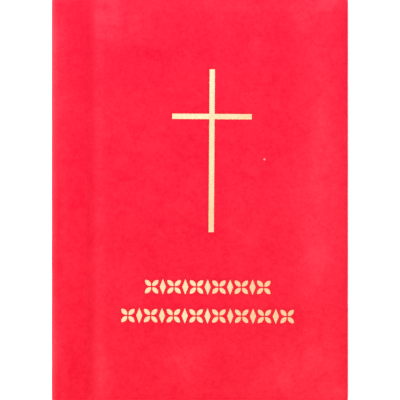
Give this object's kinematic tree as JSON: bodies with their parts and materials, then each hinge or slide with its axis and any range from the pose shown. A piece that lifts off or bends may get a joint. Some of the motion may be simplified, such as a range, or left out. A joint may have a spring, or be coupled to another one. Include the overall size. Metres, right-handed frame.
{
  "type": "prayer book",
  "caption": "Small closed hardback prayer book in red velour, gold cross and ornament on the front, covers and first leaves that open.",
  "frame": {"origin": "middle of the back cover's outer face, which the closed book lies on", "axes": "+Z out of the front cover, +Y towards the head of the book, spine on the -X side and fore edge on the +X side"},
  "size_m": [0.0962, 0.131, 0.0152],
  "materials": {
    "velour": "short red velour pile, nap brushed in patches",
    "gold_foil": "hot-stamped gold foil, satin, crushed into the pile",
    "grey_board": "dense grey book board",
    "spine_card": "thin flexible spine card",
    "endpaper": "plain uncoated endpaper",
    "leaf_paper": "uncoated book paper",
    "thread": "waxed white sewing thread",
    "mull": "open starched gauze",
    "lining_paper": "brown kraft paper",
    "band": "red and white thread wound on a cord"
  },
  "bodies": {
    "text_block": {"signature_1_folds": "leaf_paper", "signature_2": "leaf_paper", "signature_3": "leaf_paper", "signature_4": "leaf_paper", "signature_5": "leaf_paper", "signature_6": "leaf_paper", "signature_7": "leaf_paper", "signature_8": "leaf_paper", "front_endpaper_fold": "endpaper", "back_endpaper_fold": "endpaper", "sewing_thread": "thread", "mull_lining": "mull", "spine_paper_lining": "lining_paper", "headband": "band", "tailband": "band", "spine_stiffener": "spine_card", "spine_velour": "velour"},
    "front_cover": {"front_board": "grey_board", "front_velour": "velour", "front_pastedown": "endpaper", "front_mull_flange": "mull", "foil_cross": "gold_foil", "foil_upper_row": "gold_foil", "foil_lower_row": "gold_foil"},
    "back_cover": {"back_board": "grey_board", "back_velour": "velour", "back_pastedown": "endpaper", "back_mull_flange": "mull"},
    "front_flyleaf": {"front_flyleaf": "endpaper"},
    "back_flyleaf": {"back_flyleaf": "endpaper"},
    "leaf_1": {"leaf_1": "leaf_paper"},
    "leaf_2": {"leaf_2": "leaf_paper"},
    "leaf_3": {"leaf_3": "leaf_paper"},
    "leaf_4": {"leaf_4": "leaf_paper"},
    "leaf_5": {"leaf_5": "leaf_paper"},
    "leaf_6": {"leaf_6": "leaf_paper"},
    "leaf_7": {"leaf_7": "leaf_paper"},
    "leaf_8": {"leaf_8": "leaf_paper"}
  },
  "joints": [
    {"name": "front_cover_hinge", "type": "hinge", "parent": "text_block", "child": "front_cover", "pos_m": [-0.0461, 0, 0.0125], "axis": [0, -1, 0], "range_deg": [0, 183]},
    {"name": "back_cover_hinge", "type": "hinge", "parent": "text_block", "child": "back_cover", "pos_m": [-0.0461, 0, 0.0027], "axis": [0, 1, 0], "range_deg": [0, 178.4]},
    {"name": "front_flyleaf_turn", "type": "hinge", "parent": "text_block", "child": "front_flyleaf", "pos_m": [-0.0405, 0, 0.0114], "axis": [0, -1, 0], "range_deg": [0, 150]},
    {"name": "leaf_1_turn", "type": "hinge", "parent": "text_block", "child": "leaf_1", "pos_m": [-0.04017, 0, 0.01128], "axis": [0, -1, 0], "range_deg": [0, 133.5]},
    {"name": "leaf_2_turn", "type": "hinge", "parent": "text_block", "child": "leaf_2", "pos_m": [-0.03994, 0, 0.01116], "axis": [0, -1, 0], "range_deg": [0, 117]},
    {"name": "leaf_3_turn", "type": "hinge", "parent": "text_block", "child": "leaf_3", "pos_m": [-0.03976, 0, 0.01104], "axis": [0, -1, 0], "range_deg": [0, 100.5]},
    {"name": "leaf_4_turn", "type": "hinge", "parent": "text_block", "child": "leaf_4", "pos_m": [-0.0396, 0, 0.01092], "axis": [0, -1, 0], "range_deg": [0, 84]},
    {"name": "leaf_5_turn", "type": "hinge", "parent": "text_block", "child": "leaf_5", "pos_m": [-0.03944, 0, 0.0108], "axis": [0, -1, 0], "range_deg": [0, 67.5]},
    {"name": "leaf_6_turn", "type": "hinge", "parent": "text_block", "child": "leaf_6", "pos_m": [-0.03928, 0, 0.01069], "axis": [0, -1, 0], "range_deg": [0, 51]},
    {"name": "leaf_7_turn", "type": "hinge", "parent": "text_block", "child": "leaf_7", "pos_m": [-0.03912, 0, 0.01057], "axis": [0, -1, 0], "range_deg": [0, 34.5]},
    {"name": "leaf_8_turn", "type": "hinge", "parent": "text_block", "child": "leaf_8", "pos_m": [-0.03896, 0, 0.01045], "axis": [0, -1, 0], "range_deg": [0, 18]},
    {"name": "back_flyleaf_turn", "type": "hinge", "parent": "text_block", "child": "back_flyleaf", "pos_m": [-0.0405, 0, 0.0038], "axis": [0, 1, 0], "range_deg": [0, 100]}
  ],
  "couplings": [
    {"joint": "front_flyleaf_turn", "follows": "front_cover_hinge", "ratio": 0.81967},
    {"joint": "leaf_1_turn", "follows": "front_cover_hinge", "ratio": 0.72951},
    {"joint": "leaf_2_turn", "follows": "front_cover_hinge", "ratio": 0.63934},
    {"joint": "leaf_3_turn", "follows": "front_cover_hinge", "ratio": 0.54918},
    {"joint": "leaf_4_turn", "follows": "front_cover_hinge", "ratio": 0.45902},
    {"joint": "leaf_5_turn", "follows": "front_cover_hinge", "ratio": 0.36885},
    {"joint": "leaf_6_turn", "follows": "front_cover_hinge", "ratio": 0.27869},
    {"joint": "leaf_7_turn", "follows": "front_cover_hinge", "ratio": 0.18852},
    {"joint": "leaf_8_turn", "follows": "front_cover_hinge", "ratio": 0.09836},
    {"joint": "back_flyleaf_turn", "follows": "back_cover_hinge", "ratio": 0.56}
  ]
}
